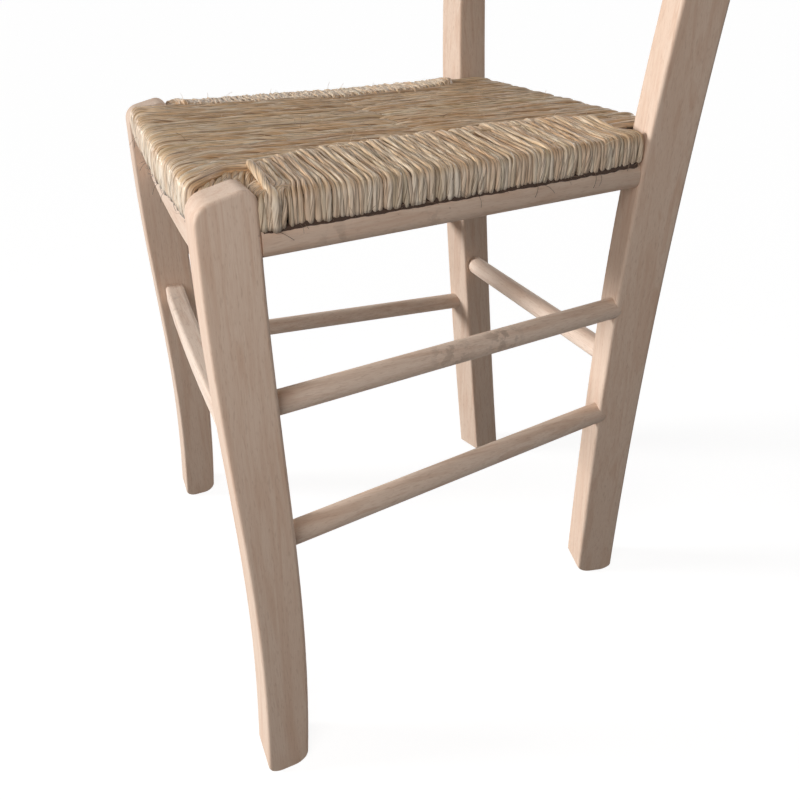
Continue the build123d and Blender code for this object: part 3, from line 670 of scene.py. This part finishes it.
side_angle = math.atan2(side_front[0] - side_back[0], side_back[1] - side_front[1])
weave = []
for side, hand in ((1, "right"), (-1, "left")):
    inward_way = (-side * math.cos(side_angle), -math.sin(side_angle), 0.0)
    weave.append(rush_field(f"rush_{hand}", side_line, {
        "Cords": 84,
        "Edge Start": metres(side * side_front[0], side_front[1]),
        "Edge End": metres(side * side_back[0], side_back[1]),
        "Inward": inward_way,
        "Depth Start": 0.046, "Depth End": 0.046, "Depth Middle": 0.076,
        "Ridge From": 0.0, "Ridge Curve": 4.5,
        "Pinch": 0.011, "Pinch Curve": 6.0, "Pinch Length": 0.018,
        "Cord Width": 0.0041, "Top Share": 0.46, "Width Change": 0.17,
        "Wander": 0.0018, "Wander Length": 0.03, "Lift": 0.0005, "End Rise": 0.0036,
        "Turns Per Metre": 11.0, "Ply Groove": 0.2, "Seed": 20 + side, "Finish": rush_cord,
    }))
    weave.append(rush_field(f"rush_first_{hand}", first_line, {
        "Cords": 1,
        "Edge Start": metres(side * first_start[0], first_start[1]),
        "Edge End": metres(side * first_end[0], first_end[1]),
        "Inward": inward_way,
        "Depth Start": 0.056, "Depth End": 0.056, "Depth Middle": 0.056, "Slant": 0.1,
        "Cord Width": 0.0060, "Width Change": 0.0, "Wander": 0.003, "Wander Length": 0.03, "Lift": 0.0002,
        "Turns Per Metre": 14.0, "Ply Groove": 0.14, "Seed": 27 + side, "Finish": rush_cord,
    }))
long_sizes = {
    "Depth Middle": 0.184, "Ridge Curve": 0.79,
    "Cord Width": 0.0060, "Width Change": 0.2, "Wander": 0.008, "Wander Length": 0.075, "Lift": 0.0014,
    "Turns Per Metre": 8.0, "Ply Groove": 0.17, "Finish": rush_cord,
}
weave.append(rush_field("rush_front", long_line, {
    **long_sizes, "Cords": 68, "Seed": 31,
    "Edge Start": metres(-front_half, front_y), "Edge End": metres(front_half, front_y),
    "Inward": (0.0, 1.0, 0.0), "Bow": front_bow / 1000,
    "Depth Start": 0.052, "Depth End": 0.052, "Ridge From": ridge_x / front_half, "Pinch": 0.022,
}))
weave.append(rush_field("rush_back", long_line, {
    **long_sizes, "Cords": 62, "Seed": 41,
    "Edge Start": metres(-back_half, back_y), "Edge End": metres(back_half, back_y),
    "Inward": (0.0, -1.0, 0.0),
    "Depth Start": 0.050, "Depth End": 0.050, "Ridge From": ridge_x / back_half,
}))

# Short cords in the corners, lower than the fields, that close the notches round the legs and posts
notch_line = (
    (32, 425), (32, 422), (9, 421), (4.2, 421), (2.6, 424), (2.5, 429), (2.7, 433.2), (4.5, 435.4),
    (10, 436.2), (26, 436.6), (33, 434), (35, 428),
)
rear_line = ((2, 426), (2, 431), (2.6, 434.6), (5, 435.8), (12, 436.4), (20, 436.4), (24, 435), (26, 429))
for side, hand in ((1, "right"), (-1, "left")):
    for label, corner_line, start, end, inward_way, count, reach in (
        ("inner", notch_line, (147.4, -204.0), (147.4, -164.0), (-0.97 * side, 0.24, 0.0), 11, 0.034),
        ("rear", rear_line, (149.0, -174.2), (178.5, -174.2), (-0.3 * side, 0.95, 0.0), 7, 0.024),
        ("post", rear_line, (134.5, 118.5), (161.0, 118.5), (-0.2 * side, -0.98, 0.0), 7, 0.024),
    ):
        weave.append(rush_field(f"rush_corner_{label}_{hand}", corner_line, {
            "Cords": count,
            "Edge Start": metres(side * start[0], start[1]), "Edge End": metres(side * end[0], end[1]),
            "Inward": inward_way,
            "Depth Start": reach, "Depth End": reach, "Depth Middle": reach, "Line Depth": reach,
            "Roll": 0.009,
            "Cord Width": 0.0056, "Width Change": 0.14, "Wander": 0.003, "Wander Length": 0.02,
            "Lift": 0.0004, "Turns Per Metre": 14.0, "Seed": 50 + count + side, "Finish": rush_cord,
        }))
for piece in weave:
    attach(piece, "root")
    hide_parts("rush_weave")


# Rush padding and shadow lip
# An inner layer for the loose broken rush stuffed between the upper and lower cords, and a band where
# the cords turn under and rest on the rails. Both are painted shade: dark brown and matt, they stand for
# the shade in the gaps between the cords and the shadow in the gap above the rails.

rush_shade, shade_tree, shade_surface = new_material("dried_rush_painted_shade")
shade_cloud_width = 0.003
shade_place = node(shade_tree, "ShaderNodeTexCoord")
shade_cloud = node(shade_tree, "ShaderNodeTexNoise", {
    "Vector": shade_place.outputs["Object"], "Scale": 1 / shade_cloud_width,
    "Detail": 3.0, "Roughness": 0.6,
})
# Painted shade: the dark brown of rush that lies in deep shade
shade_colour = node(shade_tree, "ShaderNodeMix", {
    0: shade_cloud, 6: linear("#281A12"), 7: linear("#4C3526"),
}, data_type="RGBA")
shade_dull = node(shade_tree, "ShaderNodeMapRange", {"Value": shade_cloud, "To Min": 0.7, "To Max": 0.9})
shade_relief = node(shade_tree, "ShaderNodeBump", {
    "Strength": 0.6, "Distance": 0.0008, "Height": shade_cloud,
})
feed(shade_tree, shade_surface, {
    "Base Color": shade_colour.outputs[2], "Roughness": shade_dull, "Normal": shade_relief,
})


def seat_outline(inset_mm):
    """Points of the seat's outline, pulled in, with its notches and its bowed front."""
    bow_steps, edge_steps = 6, 120
    half = front_half - inset_mm
    steps = [half * (step / bow_steps - 1) for step in range(2 * bow_steps + 1)]
    front_edge = [(x, front_y + inset_mm - front_bow * (1 - (x / half) ** 2)) for x in steps]
    right = [
        (half, side_front[1] + inset_mm), (side_front[0] - inset_mm, side_front[1] + inset_mm),
        (side_back[0] - inset_mm, side_back[1] - inset_mm), (back_half - inset_mm, side_back[1] - inset_mm),
        (back_half - inset_mm, back_y - inset_mm),
    ]
    corners = front_edge + right + [(-x, y) for x, y in reversed(right)]
    outline = []
    for (x, y), (next_x, next_y) in zip(corners, corners[1:] + corners[:1]):
        outline += [
            (x + (next_x - x) * step / edge_steps, y + (next_y - y) * step / edge_steps)
            for step in range(edge_steps)
        ]
    return outline


def rush_band(name, layers, end_rise, ends):
    """Wavy layer round the seat in the painted shade material, from insets and heights in millimetres. It
    climbs towards the back posts, and its ends are open, capped or joined to each other."""
    build = bmesh.new()
    rings = []
    for inset_mm, height_mm in layers:
        ring = []
        for x, y in seat_outline(inset_mm):
            wave = 0.4 * math.sin(0.71 * y + 0.2 * x) + 0.5 * math.sin(0.37 * x + 0.23 * y)
            along = min(1.0, max(0.0, (y - side_front[1]) / (side_back[1] - side_front[1])))
            z = height_mm + wave + end_rise * along ** end_curve
            ring.append(build.verts.new((x / 1000, y / 1000, z / 1000)))
        rings.append(ring)
    for lower, upper in zip(rings, rings[1:] + (rings[:1] if ends == "joined" else [])):
        for first in range(len(lower)):
            second = (first + 1) % len(lower)
            build.faces.new((lower[first], lower[second], upper[second], upper[first]))
    if ends == "capped":
        build.faces.new(rings[-1])
        build.faces.new(list(reversed(rings[0])))
    mesh = bpy.data.meshes.new(name)
    build.to_mesh(mesh)
    build.free()
    mesh.materials.append(rush_shade)
    band = bpy.data.objects.new(name, mesh)
    bpy.context.scene.collection.objects.link(band)
    return band


inner_layers = ((4.2, 420.4), (3.6, 423), (3.6, 430.5), (7.5, 433.0), (20, 434.8), (40, 437.0))
# The shadow lip: a dark band of painted shadow where the cords turn under and rest on the rails
shadow_lip_layers = (
    (3.2, 413.9), (1.5, 413.5), (1.0, 414.5), (1.3, 417.2), (4.0, 419.3), (8.0, 419.0), (8.0, 416.5),
)
shadow_lip_rise = 2.2
inner = rush_band("rush_inner", inner_layers, 0.0, "capped")
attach(inner, "root")
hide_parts("rush_weave", "rush_padding")
shadow_lip = rush_band("rush_shadow_lip", shadow_lip_layers, shadow_lip_rise, "joined")
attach(shadow_lip, "root")
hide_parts("rush_weave")


# Stray fibres
# Split ends of the rush leaves, thin as hair and 4 to 12 mm long, that stand off the cords here and
# there. A frayed fringe of them hangs along the band of painted shadow under the cords.

stray_tree, stray_given = new_tree("rush_strays", {
    "Strays Per Square Metre": ("NodeSocketFloat", 1500.0),
    "Seed": ("NodeSocketInt", 1),
    "Finish": ("NodeSocketMaterial", None),
})
hair_radius, hair_lean, hair_shortest, hair_longest = 0.00014, 0.5, 0.4, 1.2
roots = node(stray_tree, "GeometryNodeDistributePointsOnFaces", {
    "Mesh": stray_given["Geometry"], "Density": stray_given["Strays Per Square Metre"],
    "Seed": stray_given["Seed"],
})
hair_line = node(stray_tree, "GeometryNodeCurveQuadraticBezier", {
    "Resolution": 7,
    "Start": (0, 0, -0.0005), "Middle": (0.003, 0.001, 0.0035), "End": (0.0095, -0.001, 0.003),
})
hair_ring = node(stray_tree, "GeometryNodeCurvePrimitiveCircle", {
    "Resolution": 4, "Radius": hair_radius,
}, mode="RADIUS")
hair = node(stray_tree, "GeometryNodeCurveToMesh", {
    "Curve": hair_line, "Profile Curve": hair_ring, "Fill Caps": True,
})
hair_turn = node(stray_tree, "FunctionNodeRandomValue", {
    0: (-hair_lean, -hair_lean, 0.0), 1: (hair_lean, hair_lean, 6.28), "Seed": stray_given["Seed"],
}, data_type="FLOAT_VECTOR")
hair_way = node(stray_tree, "FunctionNodeRotateRotation", {
    "Rotation": roots.outputs["Rotation"], "Rotate By": hair_turn,
}, rotation_space="LOCAL")
hair_size = node(stray_tree, "FunctionNodeRandomValue", {
    2: hair_shortest, 3: hair_longest, "Seed": stray_given["Seed"],
}, data_type="FLOAT")
hairs = node(stray_tree, "GeometryNodeInstanceOnPoints", {
    "Points": roots.outputs["Points"], "Instance": hair, "Rotation": hair_way, "Scale": hair_size,
})
loose = node(stray_tree, "GeometryNodeRealizeInstances", {"Geometry": hairs})
loose_dressed = node(stray_tree, "GeometryNodeSetMaterial", {
    "Geometry": loose, "Material": stray_given["Finish"],
})
node(stray_tree, "NodeGroupOutput", {"Geometry": loose_dressed})

# They grow on a copy of each field, and thickly on the outer face of the painted shadow lip
cord_strays, shadow_lip_strays = 500.0, 45000.0
growers = []
for name in ("rush_right", "rush_left", "rush_front", "rush_back"):
    grower = bpy.data.objects.new(name + "_strays", bpy.data.objects[name].data.copy())
    bpy.context.scene.collection.objects.link(grower)
    growers.append((name, grower, cord_strays))
growers.append(("rush_shadow_lip", rush_band("rush_shadow_lip_strays", shadow_lip_layers[2:4], shadow_lip_rise, "open"), shadow_lip_strays))
for number, (name, grower, density) in enumerate(growers):
    scatter = grower.modifiers.new("strays", "NODES")
    scatter.node_group = stray_tree
    set_sizes(scatter, {"Strays Per Square Metre": density, "Seed": 60 + number, "Finish": rush_cord})
    strays = settled(grower, name + "_strays")
    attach(strays, "root")
    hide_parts("rush_weave")


# Floor, light and camera
# A plain pale floor. A soft key light from the front, a weaker panel near the camera, a fill light
# from behind and a dim room round them, seen from where the photograph was taken.

def seen_share(tree):
    """Share of rays that see the backdrop: the camera's own, and those by way of metal or glass."""
    rays = node(tree, "ShaderNodeLightPath")
    straight = node(tree, "ShaderNodeMath", {
        0: rays.outputs["Is Camera Ray"], 1: rays.outputs["Is Glossy Ray"],
    }, operation="MAXIMUM")
    return node(tree, "ShaderNodeMath", {
        0: straight, 1: rays.outputs["Is Transmission Ray"],
    }, operation="MAXIMUM")


floor_half, floor_white, room_light = 30.0, 0.88, 0.13
floor_mesh = bpy.data.meshes.new("floor")
floor_build = bmesh.new()
bmesh.ops.create_grid(floor_build, x_segments=2, y_segments=2, size=floor_half)
floor_build.to_mesh(floor_mesh)
floor_build.free()
floor = bpy.data.objects.new("floor", floor_mesh)
bpy.context.scene.collection.objects.link(floor)
floor_paint, floor_tree, floor_surface = new_material("pale_floor")
floor_tree.nodes.remove(floor_surface)
floor_shade = node(floor_tree, "ShaderNodeBsdfDiffuse", {"Color": linear("#8C8C8C")})
floor_glow = node(floor_tree, "ShaderNodeEmission", {"Color": linear("#FFFFFF"), "Strength": floor_white})
floor_both = node(floor_tree, "ShaderNodeAddShader", {0: floor_shade, 1: floor_glow})
floor_seen = node(floor_tree, "ShaderNodeMixShader", {
    0: seen_share(floor_tree), 1: floor_shade, 2: floor_both,
})
feed(floor_tree, floor_tree.nodes["Material Output"], {"Surface": floor_seen})
floor.data.materials.append(floor_paint)

world = bpy.data.worlds.new("studio")
world.use_nodes = True
bpy.context.scene.world = world
world_tree = world.node_tree
world_fill = world_tree.nodes["Background"]
feed(world_tree, world_fill, {"Color": linear("#FFFFFF"), "Strength": room_light})
world_seen = node(world_tree, "ShaderNodeBackground", {"Color": linear("#FFFFFF"), "Strength": 1.0})
world_mix = node(world_tree, "ShaderNodeMixShader", {
    0: seen_share(world_tree), 1: world_fill, 2: world_seen,
})
feed(world_tree, world_tree.nodes["World Output"], {"Surface": world_mix})

# Each far lamp has a strength, a spread in degrees and the way that its light goes
for name, strength, spread, way in (
    ("key", 2.8, 15, (0.39, 0.88, -0.24)), ("fill", 1.7, 40, (0.42, -0.88, -0.12)),
):
    far_light = bpy.data.lights.new(name, "SUN")
    far_light.energy = strength
    far_light.angle = math.radians(spread)
    far_lamp = bpy.data.objects.new(name, far_light)
    far_lamp.rotation_euler = Vector(way).to_track_quat("-Z", "Y").to_euler()
    bpy.context.scene.collection.objects.link(far_lamp)

panel_light = bpy.data.lights.new("panel", "AREA")
panel_light.energy = 3.5
panel_light.size = 0.6
panel_light.color = (1.0, 0.94, 0.90)
panel = bpy.data.objects.new("panel", panel_light)
panel.location = (0.70, -0.62, 0.73)
panel_aim = Vector((0.1, -0.05, 0.3))
panel.rotation_euler = (panel_aim - panel.location).to_track_quat("-Z", "Y").to_euler()
bpy.context.scene.collection.objects.link(panel)

# The focal length and the middle of the view are in pixels of the photograph
picture, focal, middle_x, middle_y = 800, 785.0, 402.48, 246.88
film_width = 36.0
camera_data = bpy.data.cameras.new("camera")
camera_data.sensor_width = film_width
camera_data.lens = film_width * focal / picture
camera_data.shift_x = (picture / 2 - middle_x) / picture
camera_data.shift_y = (middle_y - picture / 2) / picture
camera_data.clip_end = 200.0
camera = bpy.data.objects.new("camera", camera_data)
camera_place = (0.6096, -0.2735, 0.5645)
sight = Vector((-0.85898402, 0.37740117, -0.34599827))
camera_up = Vector((-0.30964333, 0.15526919, 0.93808981))
camera_right = Vector((0.40775907, 0.91294021, -0.016514))
camera.matrix_world = Matrix([
    (camera_right[i], camera_up[i], -sight[i], camera_place[i]) for i in range(3)
] + [(0, 0, 0, 1)])
bpy.context.scene.collection.objects.link(camera)
bpy.context.scene.camera = camera
bpy.context.scene.view_settings.view_transform = "Standard"
